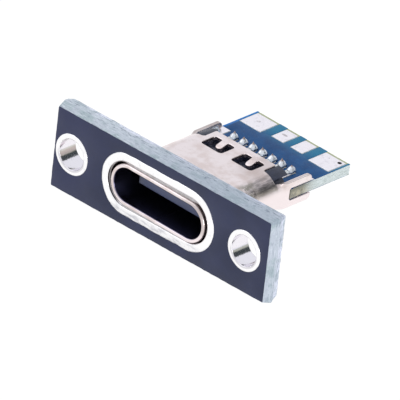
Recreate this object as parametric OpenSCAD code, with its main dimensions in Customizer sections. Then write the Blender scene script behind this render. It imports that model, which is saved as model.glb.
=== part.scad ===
// Panel-mount USB-C socket: a straddle-mount receptacle gripping a small breakout board,
// soldered upright into the plated slot of a slim screw plate.
// X runs to the right along the screw holes, +Y is the way a plug goes in, Z is up.
// The origin is midway between the screw holes, on the front face of the plate.

/* [Screw plate] */
// Distance between the centres of the two screw holes
hole_pitch = 16.5; // [16.1:0.1:18]
// Diameter of each plated screw hole
hole_d = 2.3; // [2:0.1:2.8]
// Width of the tinned ring round each screw hole
hole_ring = 0.38; // [0.2:0.02:0.5]
// Bare strip between a screw-hole ring and the end of the plate
end_strip = 0.37; // [0.35:0.01:1.5]
// Height of the plate's front face
plate_h = 6.2; // [5.6:0.1:10]
// Thickness of the plate over its lacquer
plate_t = 1.6; // [1.4:0.1:2.4]
// Thickness of one lacquer layer on the plate
lacquer_t = 0.03; // [0.02:0.005:0.05]
// How far the snapped outline sits to the right of the hole centres
outline_shift = 0.26; // [0:0.02:0.34]
// Depth of the scoring groove cut from the front
score_front = 0.68; // [0.4:0.02:0.75]
// Depth of the scoring groove cut from the rear
score_rear = 0.52; // [0.3:0.02:0.55]
// Full angle of the scoring cutter
score_angle = 30; // [20:5:45]
// How far the rear groove of the right edge was cut inside the front one
score_slip = 0.2; // [0:0.02:0.24]

/* [Plated slot] */
// Gap between the shell and the slot at each end
slot_gap_x = 0.28; // [0.2:0.02:0.5]
// Gap between the shell and the slot above and below
slot_gap_z = 0.18; // [0.17:0.01:0.4]
// Width of the tinned ring round the slot
slot_ring = 0.57; // [0.3:0.01:0.7]
// Thickness of the copper and tin on the plate
plating_t = 0.05; // [0.03:0.005:0.08]
// How far the tinned rings stand above the lacquer
ring_rise = 0.03; // [0.02:0.005:0.05]
// How far the socket's axis sits below the hole centres
seat_drop = 0.08; // [0:0.01:0.09]
// Lean of the hand-soldered socket, right end down
seat_tilt = 1.2; // [0:0.1:1.3]
// Reach of the solder fillet behind the plate
fillet_reach = 1.1; // [0.6:0.1:1.6]
// Foot of the solder fillet on the rear ring
fillet_foot = 0.5; // [0.45:0.01:0.7]
// Thickness of the solder collar left in the slot, from the rear
collar_t = 0.6; // [0.2:0.1:1]

/* [Shell] */
// Width of the plug opening
mouth_w = 8.34; // [8.2:0.02:8.5]
// Height of the plug opening
mouth_h = 2.56; // [2.5:0.02:2.7]
// Thickness of the shell's steel sheet
sheet = 0.3; // [0.2:0.02:0.3]
// How far the shell's rim stands in front of the plate
rim_proud = 0.06; // [0:0.02:0.5]
// Distance from the rim to the rear edge of the shell's top
shell_len = 8.65; // [8.4:0.05:9]
// Half the width of the top sheet between the rear corner notches
notch_x = 2.85; // [2.7:0.05:3]
// Length of the rear corner notches
notch_len = 1.3; // [1:0.05:1.4]
// Radius in the inner corner of a notch
notch_r = 0.2; // [0.12:0.02:0.4]
// Width of a latch window
window_w = 1.94; // [1.6:0.02:2.1]
// Length of a latch window
window_len = 1.5; // [1.3:0.05:1.6]
// Distance from the middle of the shell to a window's middle
window_x = 1.43; // [1.35:0.01:1.5]
// Strip of sheet behind a window
window_strip = 0.6; // [0.4:0.05:0.8]
// Corner radius of a window
window_r = 0.2; // [0.1:0.02:0.3]
// Width of a latch tab
tab_w = 0.54; // [0.4:0.02:0.9]
// Length of a latch tab
tab_len = 0.84; // [0.5:0.02:0.95]
// Angle by which a latch tab is bent in
tab_bend = 17; // [8:1:20]
// Width of the interlocking seam line under the shell
seam_w = 0.04; // [0.02:0.01:0.08]

/* [Legs] */
// Height of a forked leg
leg_h = 2; // [1.8:0.05:2.1]
// How far the prongs reach along the board
prong_len = 2.15; // [1.5:0.05:2.6]
// Corner radius of a prong's tip
prong_r = 0.36; // [0.1:0.02:0.4]
// Corner radius at the bottom of the fork's slot
fork_r = 0.18; // [0.08:0.02:0.3]
// Gap between a prong and the board it straddles
fork_gap = 0.08; // [0.05:0.01:0.12]
// Distance from the housing's rear face to the bottom of the fork's slot
fork_set = 0.06; // [0.02:0.02:0.2]

/* [Housing and tongue] */
// Distance from the rim to the housing's front face
cavity = 6.2; // [6:0.05:6.3]
// Distance from the housing's rear face to the rear edge of the top sheet
housing_inset = 0.15; // [0.05:0.05:0.3]
// Fitting gap between the housing and the shell
housing_gap = 0.02; // [0.01:0.01:0.05]
// Depth of the pockets in the housing under the windows
pocket = 0.36; // [0.3:0.02:0.4]
// How far the housing's corner blocks lie below the outside of the sheet
block_inset = 0.08; // [0.02:0.02:0.16]
// Gap round the housing's corner blocks
block_gap = 0.05; // [0.02:0.01:0.1]
// Gap between a corner block and the leg beside it
block_clear = 0.16; // [0.05:0.01:0.3]
// How far the corner blocks reach behind the housing
block_reach = 0.35; // [0.05:0.05:0.5]
// Width of the tongue
tongue_w = 6.69; // [6.5:0.01:6.8]
// Thickness of the tongue
tongue_t = 0.7; // [0.66:0.01:0.76]
// Distance from the rim back to the tongue's tip
tongue_set = 1.45; // [0.8:0.05:1.6]
// Length of the thicker root of the tongue
root_len = 0.9; // [0.5:0.1:1.2]
// Thickness of the root of the tongue
root_t = 1.24; // [1:0.02:1.4]
// Thickness of the steel plate inside the tongue
mid_t = 0.15; // [0.1:0.01:0.18]
// How far the steel plate shows at the tongue's sides
mid_show = 0.04; // [0.02:0.01:0.08]

/* [Contacts] */
// Grid of the contacts on the tongue
contact_grid = 0.5; // [0.48:0.01:0.51]
// Width of a contact on the tongue
contact_w = 0.28; // [0.2:0.01:0.3]
// Thickness of the contact strip
contact_t = 0.15; // [0.1:0.01:0.16]
// How far a contact stands above the tongue
contact_rise = 0.02; // [0.01:0.01:0.04]
// Distance from the tongue's tip to the contacts
contact_set = 0.75; // [0.5:0.05:1]
// Spacing of the tails on the board
tail_pitch = 0.92; // [0.85:0.01:0.95]
// Width of a tail
tail_w = 0.38; // [0.3:0.01:0.42]
// How far the tails reach along the board
tail_len = 1.75; // [1.2:0.05:2]

/* [Board] */
// Width of the breakout board
board_w = 8.9; // [8.7:0.02:8.9]
// Length of the breakout board
board_len = 5.95; // [5:0.05:9]
// Thickness of the breakout board over its lacquer
board_t = 0.8; // [0.7:0.02:0.84]
// Thickness of one lacquer layer on the board
film_t = 0.02; // [0.01:0.005:0.03]
// Thickness of the copper lands
land_t = 0.04; // [0.03:0.005:0.06]
// Gap between the fork's slot and the front edge of the board
board_gap = 0.1; // [0.05:0.05:0.2]
// Width of a contact land
land_w = 0.58; // [0.45:0.01:0.64]
// Gap between a land and the lacquer round it
land_gap = 0.05; // [0.03:0.01:0.08]
// Length of a contact land
land_len = 2.1; // [1.6:0.05:2.6]
// Length of a shell land, soldered to a prong
shell_land_len = 2; // [1.4:0.1:2.4]
// Width of a shell land
shell_land_w = 0.75; // [0.5:0.05:0.85]
// Bare strip between the wire pads and the rear edge of the board
rear_strip = 0.22; // [0.1:0.02:0.5]
// Width of an outer wire pad
outer_pad_w = 1.9; // [1.5:0.05:1.95]
// Length of an outer wire pad
outer_pad_len = 1.78; // [1:0.02:1.9]
// Distance from the middle of the board to an outer wire pad's middle
outer_pad_x = 3.28; // [3.2:0.02:3.35]
// Width of an inner wire pad
inner_pad_w = 1.1; // [0.8:0.05:1.3]
// Length of an inner wire pad
inner_pad_len = 1.5; // [1:0.02:1.9]
// Distance from the middle of the board to an inner wire pad's middle
inner_pad_x = 0.91; // [0.8:0.01:1]
// Diameter of the plated through-hole in the right outer pad
via_d = 0.26; // [0.2:0.02:0.4]
// Distance from the through-hole to the right end of its pad
via_edge = 0.3; // [0.25:0.05:0.6]

/* [Solder and resistors] */
// Radius of a solder joint on a tail
blob_r = 0.28; // [0.24:0.01:0.3]
// Length of the straight part of a solder joint
blob_len = 0.5; // [0.3:0.05:0.8]
// Height of a solder joint's centre line above its land
blob_rise = 0.12; // [0.08:0.01:0.2]
// Height of the point in which a solder joint was drawn up
spire_h = 0.52; // [0.42:0.02:0.6]
// Size of the solder fillet inside each prong
leg_fillet = 0.4; // [0.2:0.02:0.48]
// Length of a chip resistor
chip_len = 1; // [1:0.1:1.2]
// Width of a chip resistor
chip_w = 0.5; // [0.4:0.1:0.8]
// Height of a chip resistor
chip_h = 0.35; // [0.3:0.05:0.5]
// Length of a resistor's metal end
chip_end = 0.24; // [0.15:0.01:0.3]
// Distance from the middle of the board to a resistor's middle
chip_x = 1; // [0.8:0.05:1.2]

/* [Hidden] */
$fn = 64;
SIDES = ["left", "right"];
FACES = ["top", "bottom"];
WIRE_PADS = ["wire_pad_left", "wire_pad_inner_left", "wire_pad_inner_right", "wire_pad_right"];
TAIL_NODES = [for (f = FACES) for (i = [1 : 7]) str("contact_", f, "_", i)];
SOLDER_NODES = [for (f = FACES) for (i = [1 : 7]) str("solder_", f, "_", i)];
LEG_SOLDER_NODES = [for (f = FACES) for (s = SIDES) str("leg_solder_", f, "_", s)];

// Small fixed sizes
skin = 0.01;                                        // how far a leg's neck lies inside its neighbours' faces
join = 0.03;                                        // bite by which two shapes of one piece are joined
fan_set = 0.35;                                     // straight run of a contact at each face of the housing
rise_len = 0.5;                                     // run in which a contact climbs to the board
mid_set = 0.5;                                      // cover in front of and behind the tongue's steel plate
flat_set = 0.3;                                     // flat run of a leg before its fork
tip_r = 0.5;                                        // corner radius of the tongue's tip, in plan
tip_bevel = 0.1;                                    // bevel of the tongue's lips
root_side = 0.15;                                   // step at each side of the tongue's root
seam_y = 3;                                         // start of the seam's dovetail
seam_l = 1.4;                                       // neck of the dovetail
seam_neck = 0.8;                                    // reach of the dovetail
seam_flare = 0.2;                                   // flare of the dovetail

// Plate: outline, web left between the two scoring grooves, rear outline
cut = 0.5;                                          // spare length of a cutting shape
hole_r = hole_d / 2;
hole_ring_r = hole_r + hole_ring;
plate_w = hole_pitch + 2 * (hole_ring_r + end_strip);
web_out = score_front * tan(score_angle / 2);
rear_out = web_out - score_rear * tan(score_angle / 2);

// Shell, on its own axis
shell_w = mouth_w + 2 * sheet;
shell_h = mouth_h + 2 * sheet;
end_x = (shell_w - shell_h) / 2;                    // centre of the rounded ends
shell_rear = shell_len - rim_proud;
notch_y = shell_rear - notch_len;
window_rear = shell_rear - window_strip;
slot_w = shell_w + 2 * slot_gap_x;
slot_h = shell_h + 2 * slot_gap_z;
slot_ring_w = slot_w + 2 * slot_ring;
slot_ring_h = slot_h + 2 * slot_ring;

// Legs: the round wall of the shell opens out into a flat plate
leg_bend_r = (shell_h - sheet) / 2;                 // middle of the sheet at the round end
leg_mid_x = (shell_w - sheet) / 2;                  // middle of the flat plate
leg_in_x = shell_w / 2 - sheet;                     // inner face of the flat plate
leg_half_angle = leg_h / 2 / leg_bend_r * 180 / PI;
leg_top_z = shell_h / 2 * sin(leg_half_angle);      // where the round wall is cut off

// Housing, tongue and board
housing_front = cavity - rim_proud;
housing_rear = shell_rear - housing_inset;
tongue_tip = tongue_set - rim_proud;
fork_y = housing_rear + fork_set;                   // bottom of the fork's slot
board_y = fork_y + board_gap;
board_rear = board_y + board_len;
laminate_z = board_t / 2 - film_t;                  // surface of the bare laminate
land_z = laminate_z + land_t;                       // surface the tails rest on
tail_end = board_y + tail_len;
land_y = board_y + 0.35;
shell_land_x = board_w / 2 - 0.06 - shell_land_w / 2;
pad_rear = board_rear - rear_strip;
via_x = outer_pad_x + outer_pad_w / 2 - via_edge;
via_y = pad_rear - 0.32;
via_wall = 0.03;
via_ring = 0.15;
chip_y = (land_y + land_len + pad_rear - outer_pad_len) / 2;
chip_foot = 0.1;                                    // reach of a land past a resistor's end
spire_tip = 0.06;                                   // radius of the end of a solder point
leg_tip = fork_y + prong_len;
flat_y = fork_y - flat_set;                         // where the legs become flat
contact_y = tongue_tip + contact_set;
fan_y = housing_front + fan_set;                    // where the contacts begin to fan out

// Which contact of the 0.5 mm grid each of the seven tails carries, as a step from the middle
GRID_STEPS = [-5.5, -2.5, -1.5, -0.5, 0.5, 2.5, 5.5];
function tip_x(i) = GRID_STEPS[i - 1] * contact_grid;
function tail_x(i) = (i - 4) * tail_pitch;

// ---- shared shapes ----

// A slot outline with fully rounded ends
module obround(w, h) {
    square([w - h, h], center = true);
    for (s = [-1, 1]) translate([s * (w - h) / 2, 0]) circle(d = h);
}

// A flat outline in X and Z, carried from y0 to y1
module along_y(y0, y1)
    translate([0, y0, 0]) rotate([-90, 0, 0]) linear_extrude(y1 - y0) mirror([0, 1]) children();

// An outline in Y and Z, carried across X from x0 to x1
module across_x(x0, x1)
    translate([x0, 0, 0]) rotate([90, 0, 90]) linear_extrude(x1 - x0) children();

// A wall section (distance from the end centre, place along Y) carried round the obround
module round_obround(half_straight) {
    for (m = [0, 1]) mirror([m, 0, 0]) {
        translate([half_straight, 0, 0]) rotate([-90, 0, 0]) rotate([0, 0, -90])
            rotate_extrude(angle = 180) children();
        mirror([0, 0, m]) translate([half_straight, 0, 0]) rotate([0, -90, 0])
            linear_extrude(2 * half_straight) children();
    }
}

// The socket's own frame: lowered and leaning in the plate's slot
module seated() translate([0, 0, -seat_drop]) rotate([0, seat_tilt, 0]) children();

// A box from its two corners
module block(a, b) translate(a) cube(b - a);

// A rectangle from its two corners
module block2(a, b) translate(a) square(b - a);

// Rectangle with rounded corners, centred
module rounded_rect(w, l, r) {
    square([w - 2 * r, l], center = true);
    square([w, l - 2 * r], center = true);
    for (sx = [-1, 1], sy = [-1, 1]) translate([sx * (w / 2 - r), sy * (l / 2 - r)]) circle(r);
}

// ---- screw plate ----

// One edge-to-edge section of the snapped laminate: front face, groove, web, groove, rear face
module scored_section(w, shift, slip) translate([shift, 0]) polygon([
    [-w / 2, lacquer_t], [w / 2, lacquer_t],
    [w / 2 + web_out, lacquer_t + score_front],
    [w / 2 + web_out - slip, plate_t - lacquer_t - score_rear],
    [w / 2 + rear_out - slip, plate_t - lacquer_t], [-w / 2 - rear_out, plate_t - lacquer_t],
    [-w / 2 - web_out, plate_t - lacquer_t - score_rear],
    [-w / 2 - web_out, lacquer_t + score_front]]);

module plate_laminate() color([0.70, 0.78, 0.80]) difference() {
    intersection() {
        translate([0, 0, -plate_h]) linear_extrude(2 * plate_h)
            scored_section(plate_w, outline_shift, score_slip);
        translate([outline_shift - plate_w, 0, 0]) rotate([0, 90, 0])
            linear_extrude(2 * plate_w) scored_section(plate_h, 0, 0);
    }
    along_y(-cut, plate_t + cut) obround(slot_w + 2 * plating_t, slot_h + 2 * plating_t);
    for (s = [-1, 1]) translate([s * hole_pitch / 2, 0, 0])
        along_y(-cut, plate_t + cut) circle(hole_r + plating_t);
}

// A lacquer layer: the whole face less the tinned rings
module plate_lacquer(y0, grow, slip) color([0.16, 0.17, 0.22]) along_y(y0, y0 + lacquer_t) difference() {
    translate([outline_shift - plate_w / 2 - grow, -plate_h / 2 - grow])
        square([plate_w + 2 * grow - slip, plate_h + 2 * grow]);
    obround(slot_ring_w, slot_ring_h);
    for (s = [-1, 1]) translate([s * hole_pitch / 2, 0]) circle(hole_ring_r);
}

module plate_lacquer_front() plate_lacquer(0, 0, 0);

module plate_lacquer_rear() plate_lacquer(plate_t - lacquer_t, rear_out, score_slip);

// Tinned wall through the plate with a flat ring on each face
module slot_plating() color([0.93, 0.94, 0.95]) difference() {
    union() {
        along_y(0, plate_t) obround(slot_w + 2 * plating_t, slot_h + 2 * plating_t);
        for (y = [-ring_rise, plate_t - lacquer_t])
            along_y(y, y + lacquer_t + ring_rise) obround(slot_ring_w, slot_ring_h);
    }
    along_y(-cut, plate_t + cut) obround(slot_w, slot_h);
}

module screw_hole_plating(side) color([0.93, 0.94, 0.95])
    translate([side * hole_pitch / 2, 0, 0]) rotate([-90, 0, 0]) difference() {
        union() {
            cylinder(h = plate_t, r = hole_r + plating_t);
            for (y = [-ring_rise, plate_t - lacquer_t])
                translate([0, 0, y]) cylinder(h = lacquer_t + ring_rise, r = hole_ring_r);
        }
        translate([0, 0, -cut]) cylinder(h = plate_t + 2 * cut, r = hole_r);
    }

// Solder run in from the rear: a collar in the slot and a hollow fillet up the shell
module slot_solder() color([0.80, 0.81, 0.82]) difference() {
    union() {
        along_y(plate_t - collar_t, plate_t + ring_rise + join) obround(slot_w, slot_h);
        seated() translate([0, plate_t + ring_rise, 0]) round_obround(end_x)
            translate([shell_h / 2, 0]) polygon(concat([[-cut, 0]],
                [for (a = [0 : 15 : 90]) [fillet_foot * (1.06 - sin(a)), fillet_reach * (1 - cos(a))]],
                [[-cut, fillet_reach]]));
    }
    seated() along_y(-cut, plate_t + fillet_reach + 2 * cut) obround(shell_w, shell_h);
}

// ---- shell ----

// A straight slit between two points
module slit(a, b) {
    run = b - a;
    translate((a + b) / 2) rotate(atan2(run[1], run[0]))
        square([norm(run) + seam_w, seam_w], center = true);
}

// Rolled-up tube with a rounded rim, less its rear corners
module shell_tube() difference() {
    round_obround(end_x) translate([shell_h / 2 - sheet, -rim_proud]) {
        translate([0, sheet / 2]) square([sheet, shell_len - sheet / 2]);
        translate([sheet / 2, sheet / 2]) circle(sheet / 2);
    }
    for (s = [0, 1]) mirror([s, 0, 0]) translate([0, 0, -shell_h])
        linear_extrude(2 * shell_h) notch_outline(0, shell_rear + cut);
}

// A rear corner notch from above, with its round inner corner, drawn in by a gap
module notch_outline(gap, rear) {
    block2([notch_x + notch_r, notch_y + gap], [shell_w, rear]);
    block2([notch_x + gap, notch_y + notch_r], [shell_w, rear]);
    translate([notch_x + notch_r, notch_y + notch_r]) circle(notch_r - gap);
}

// Point of a leg: t from 0 at the round wall to 1 at the flat plate, u up the sheet, side +1 outside
function leg_open(t) = let (v = max(0, min(1, t))) 1 - v * v * (3 - 2 * v);
function leg_point(t, u, side) =
    let (bend = leg_open(t) / leg_bend_r, turn = u * bend * 180 / PI, out = side * (sheet / 2 - skin),
         x = bend < 1e-6 ? 0 : (1 - cos(turn)) / bend, z = bend < 1e-6 ? u : sin(turn) / bend)
    [leg_mid_x - x + out * cos(turn), notch_y + t * (flat_y - notch_y), z + out * sin(turn)];

// The stretch of a leg where the round wall opens out flat; its ends bite into both neighbours
module leg_neck() {
    steps = 8;
    rows = 10;
    stations = [-0.15, for (i = [0 : steps - 2]) i / (steps - 2), 1.15];
    at = function (i, j, k) (i * (rows + 1) + j) * 2 + k;
    quad = function (a, b, c, d) [[a, b, c], [a, c, d]];
    polyhedron(
        points = [for (i = [0 : steps], j = [0 : rows], k = [0, 1])
            leg_point(stations[i], (j / rows - 0.5) * (leg_h - 2 * skin), 1 - 2 * k)],
        faces = [
            for (i = [0 : steps - 1], j = [0 : rows - 1], f = concat(
                quad(at(i, j, 0), at(i, j + 1, 0), at(i + 1, j + 1, 0), at(i + 1, j, 0)),
                quad(at(i, j, 1), at(i + 1, j, 1), at(i + 1, j + 1, 1), at(i, j + 1, 1)))) f,
            for (i = [0 : steps - 1], f = concat(
                quad(at(i, rows, 0), at(i, rows, 1), at(i + 1, rows, 1), at(i + 1, rows, 0)),
                quad(at(i, 0, 0), at(i + 1, 0, 0), at(i + 1, 0, 1), at(i, 0, 1)))) f,
            for (j = [0 : rows - 1], f = concat(
                quad(at(0, j, 0), at(0, j, 1), at(0, j + 1, 1), at(0, j + 1, 0)),
                quad(at(steps, j, 0), at(steps, j + 1, 0), at(steps, j + 1, 1), at(steps, j, 1)))) f]);
}

// The flat plate with its fork, in Y and Z
module fork_outline() difference() {
    union() {
        block2([flat_y, -leg_h / 2], [leg_tip - prong_r, leg_h / 2]);
        block2([flat_y, -leg_h / 2 + prong_r], [leg_tip, leg_h / 2 - prong_r]);
        for (s = [-1, 1]) translate([leg_tip - prong_r, s * (leg_h / 2 - prong_r)]) circle(prong_r);
    }
    fork_half = board_t / 2 + fork_gap;
    block2([fork_y + fork_r, -fork_half], [leg_tip + cut, fork_half]);
    block2([fork_y, -fork_half + fork_r], [leg_tip + cut, fork_half - fork_r]);
    for (s = [-1, 1]) translate([fork_y + fork_r, s * (fork_half - fork_r)]) circle(fork_r);
}

module leg() {
    leg_neck();
    across_x(leg_in_x, shell_w / 2) fork_outline();
}

module window_cut() translate([0, window_rear - window_len / 2, mouth_h / 2 - 0.1])
    linear_extrude(sheet + cut) rounded_rect(window_w, window_len, window_r);

// Latch tab bent in from the rear edge of a window
module latch_tab() translate([0, window_rear, shell_h / 2]) rotate([tab_bend, 0, 0])
    translate([0, 0, -sheet]) linear_extrude(sheet) {
        block2([-tab_w / 2, -tab_len + tab_w / 2], [tab_w / 2, 0]);
        translate([0, -tab_len + tab_w / 2]) circle(tab_w / 2);
    }

// Dovetailed seam line along the middle of the shell's underside
module seam_cut() translate([0, 0, -shell_h]) linear_extrude(shell_h - mouth_h / 2 + 0.1) {
    line = [[0, -rim_proud - cut], [0, seam_y], [seam_neck, seam_y - seam_flare],
            [seam_neck, seam_y + seam_l + seam_flare], [0, seam_y + seam_l], [0, shell_rear + cut]];
    for (i = [1 : len(line) - 1]) slit(line[i - 1], line[i]);
}

module shell() color([0.86, 0.83, 0.83]) {
    difference() {
        shell_tube();
        for (s = [-1, 1], m = [0, 1]) mirror([0, 0, m]) translate([s * window_x, 0, 0]) window_cut();
        seam_cut();
    }
    for (s = [-1, 1], m = [0, 1]) mirror([0, 0, m]) translate([s * window_x, 0, 0]) latch_tab();
    for (m = [0, 1]) mirror([m, 0, 0]) leg();
}

// ---- housing, tongue and contacts ----

// Corner blocks that fill the shell's rear notches, above and below each leg
module corner_blocks() intersection() {
    along_y(notch_y + block_gap, housing_rear + block_reach)
        obround(shell_w - 2 * block_inset, shell_h - 2 * block_inset);
    for (sx = [0, 1], sz = [0, 1]) mirror([sx, 0, 0]) mirror([0, 0, sz])
        translate([0, 0, leg_top_z + block_clear]) linear_extrude(shell_h)
            notch_outline(block_gap, housing_rear + block_reach);
}

module housing() color([0.06, 0.06, 0.08]) difference() {
    union() {
        along_y(housing_front, housing_rear)
            obround(mouth_w - 2 * housing_gap, mouth_h - 2 * housing_gap);
        corner_blocks();
    }
    for (s = [-1, 1], m = [0, 1]) mirror([0, 0, m]) translate([s * window_x, 0, 0])
        block([-window_w / 2 - block_gap, window_rear - window_len - block_gap, mouth_h / 2 - pocket],
              [window_w / 2 + block_gap, window_rear + block_gap, shell_h]);
    mid_plate_body();
    for (f = [0, 1], i = [1 : 7]) contact_body(i, f);
}

// Tongue: rounded tip corners in plan, bevelled lips, a thicker root against the housing
module tongue() color([0.06, 0.06, 0.08]) difference() {
    union() {
        intersection() {
            translate([0, 0, -tongue_t]) linear_extrude(2 * tongue_t) {
                block2([-tongue_w / 2, tongue_tip + tip_r], [tongue_w / 2, housing_front]);
                block2([-tongue_w / 2 + tip_r, tongue_tip], [tongue_w / 2 - tip_r, housing_front]);
                for (s = [-1, 1]) translate([s * (tongue_w / 2 - tip_r), tongue_tip + tip_r]) circle(tip_r);
            }
            across_x(-tongue_w, tongue_w) polygon([for (s = [1, -1])
                each s > 0 ? [[housing_front, tongue_t / 2], [tongue_tip + tip_bevel, tongue_t / 2],
                              [tongue_tip, tongue_t / 2 - tip_bevel]]
                           : [[tongue_tip, -tongue_t / 2 + tip_bevel],
                              [tongue_tip + tip_bevel, -tongue_t / 2], [housing_front, -tongue_t / 2]]]);
        }
        block([-tongue_w / 2 - root_side, housing_front - root_len, -root_t / 2],
              [tongue_w / 2 + root_side, housing_front, root_t / 2]);
    }
    mid_plate_body();
    for (f = [0, 1], i = [1 : 7]) contact_body(i, f);
}

module mid_plate_body() block(
    [-tongue_w / 2 - mid_show, tongue_tip + mid_set, -mid_t / 2],
    [tongue_w / 2 + mid_show, housing_rear - mid_set, mid_t / 2]);

module mid_plate() color([0.75, 0.76, 0.78]) mid_plate_body();

// Contact strip: straight on the tongue, fanned out inside the housing, flat on the board
module contact_body(i, face) mirror([0, 0, face]) {
    x0 = tip_x(i);
    x1 = tail_x(i);
    z0 = tongue_t / 2 + contact_rise - contact_t;
    intersection() {
        linear_extrude(shell_h) polygon([
            [x0 - contact_w / 2, contact_y], [x0 + contact_w / 2, contact_y],
            [x0 + contact_w / 2, fan_y], [x1 + tail_w / 2, housing_rear - fan_set],
            [x1 + tail_w / 2, tail_end], [x1 - tail_w / 2, tail_end],
            [x1 - tail_w / 2, housing_rear - fan_set], [x0 - contact_w / 2, fan_y]]);
        across_x(-shell_w, shell_w) polygon([
            [contact_y, z0], [fan_y, z0], [fan_y + rise_len, land_z], [tail_end, land_z],
            [tail_end, land_z + contact_t], [fan_y + rise_len, land_z + contact_t],
            [fan_y, z0 + contact_t], [contact_y, z0 + contact_t]]);
    }
}

module contact(i, face) color([0.90, 0.90, 0.88]) contact_body(i, face);

// ---- breakout board ----

// Lands of one board face: seven for the tails, two for the prongs, grown by a margin
module land_outlines(grow) {
    for (i = [1 : 7]) translate([tail_x(i), 0])
        block2([-land_w / 2 - grow, land_y - grow], [land_w / 2 + grow, land_y + land_len + grow]);
    for (s = [-1, 1]) translate([s * shell_land_x, 0])
        block2([-shell_land_w / 2 - grow, land_y - grow],
               [shell_land_w / 2 + grow, land_y + shell_land_len + grow]);
}

// Lands under the ends of the chip resistors
module chip_lands(grow) for (s = [-1, 1], e = [-1, 1])
    translate([s * chip_x + e * (chip_len - chip_end) / 2, chip_y])
        square([chip_end + 2 * (chip_foot + grow), chip_w + 2 * grow], center = true);

// The wire pad number k, counted from the left
function pad_x(k) = [-outer_pad_x, -inner_pad_x, inner_pad_x, outer_pad_x][k];
function pad_size(k) = k == 0 || k == 3 ? [outer_pad_w, outer_pad_len] : [inner_pad_w, inner_pad_len];

module wire_pad_outline(k, grow, open) translate([pad_x(k) - pad_size(k)[0] / 2 - grow,
                                                  pad_rear - pad_size(k)[1] - grow])
    square([pad_size(k)[0] + 2 * grow, pad_size(k)[1] + grow + open]);

module board_laminate() color([0.72, 0.74, 0.60]) translate([0, 0, -laminate_z])
    linear_extrude(2 * laminate_z) difference() {
        block2([-board_w / 2, board_y], [board_w / 2, board_rear]);
        translate([via_x, via_y]) circle(via_d / 2 + via_wall);
    }

// Lacquer of one face: open over the lands, and over the wire pads out to the rear edge
module board_lacquer_top() color([0.16, 0.33, 0.60]) translate([0, 0, laminate_z])
    linear_extrude(film_t) difference() {
        block2([-board_w / 2, board_y], [board_w / 2, board_rear]);
        land_outlines(land_gap);
        for (k = [0 : 3]) wire_pad_outline(k, land_gap, rear_strip + cut);
    }

module board_lacquer_bottom() color([0.16, 0.33, 0.60]) translate([0, 0, -board_t / 2])
    linear_extrude(film_t) difference() {
        block2([-board_w / 2, board_y], [board_w / 2, board_rear]);
        land_outlines(land_gap);
        chip_lands(land_gap);
        translate([via_x, via_y]) circle(via_d / 2 + via_ring + land_gap);
    }

module lands_top() color([0.93, 0.90, 0.88]) translate([0, 0, laminate_z])
    linear_extrude(land_t) land_outlines(0);

module lands_bottom() color([0.93, 0.90, 0.88]) translate([0, 0, -land_z])
    linear_extrude(land_t) {
        land_outlines(0);
        chip_lands(0);
    }

// Wire pad; the right one is carried through the board by its plated hole
module wire_pad(k) color([0.93, 0.90, 0.94]) difference() {
    union() {
        translate([0, 0, laminate_z]) linear_extrude(land_t) wire_pad_outline(k, 0, 0);
        if (k == 3) translate([via_x, via_y, -land_z]) {
            cylinder(h = land_z + laminate_z + land_t / 2, r = via_d / 2 + via_wall);
            cylinder(h = land_t, r = via_d / 2 + via_ring);
        }
    }
    if (k == 3) translate([via_x, via_y, -land_z - cut]) cylinder(h = 2 * (land_z + cut), d = via_d);
}

// Chip resistor under the board
module chip_resistor(side) color([0.10, 0.10, 0.11])
    translate([side * chip_x, chip_y, -land_z - chip_h / 2])
        cube([chip_len, chip_w, chip_h], center = true);

// ---- solder ----

// Drawn-out drop over the end of a tail
module solder_joint(i, face) color([0.85, 0.86, 0.88]) difference() {
    mirror([0, 0, face]) translate([tail_x(i), tail_end, land_z + blob_rise]) difference() {
        union() {
            rotate([90, 0, 0]) cylinder(h = blob_len, r = blob_r, center = true);
            for (s = [-1, 1]) translate([0, s * blob_len / 2, 0]) sphere(blob_r);
            cylinder(h = spire_h - blob_rise, r1 = 0.8 * blob_r, r2 = spire_tip);
        }
        translate([0, 0, -blob_rise - shell_h / 2]) cube(shell_h, center = true);
    }
    contact_body(i, face);
}

// Hollow fillet between a prong's inner face and its land
module leg_solder(side, face) color([0.85, 0.86, 0.88]) mirror([side, 0, 0]) mirror([0, 0, face])
    along_y(land_y + 0.1, leg_tip - prong_r) translate([leg_in_x - leg_fillet, land_z]) difference() {
        square(leg_fillet);
        translate([0, leg_fillet]) circle(leg_fillet - 0.03);
    }

plate_laminate();
plate_lacquer_front();
plate_lacquer_rear();
slot_plating();
screw_hole_plating(-1);  // screw_hole_plating_left
screw_hole_plating(1);  // screw_hole_plating_right
slot_solder();
seated() shell();
seated() housing();
seated() tongue();
seated() mid_plate();
seated() board_laminate();
seated() board_lacquer_top();
seated() board_lacquer_bottom();
seated() lands_top();
seated() lands_bottom();
seated() chip_resistor(-1);  // chip_resistor_left
seated() chip_resistor(1);  // chip_resistor_right
for (k = [0 : 3]) seated() wire_pad(k);
for (k = [0 : 13]) seated() contact(k % 7 + 1, floor(k / 7));
for (k = [0 : 13]) seated() solder_joint(k % 7 + 1, floor(k / 7));
for (k = [0 : 3]) seated() leg_solder(1 - k % 2, floor(k / 2));
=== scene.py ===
# A USB-C receptacle soldered upright into the plated slot of a slim screw plate, with a small
# breakout board gripped between its two rows of contacts. Sizes are in millimetres and become
# metres in each piece. +Y is the way a plug goes in, and +Z is up.
import math
import bmesh
import bpy
import numpy as np
from mathutils import Matrix, Vector
from mathutils.geometry import delaunay_2d_cdt


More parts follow.
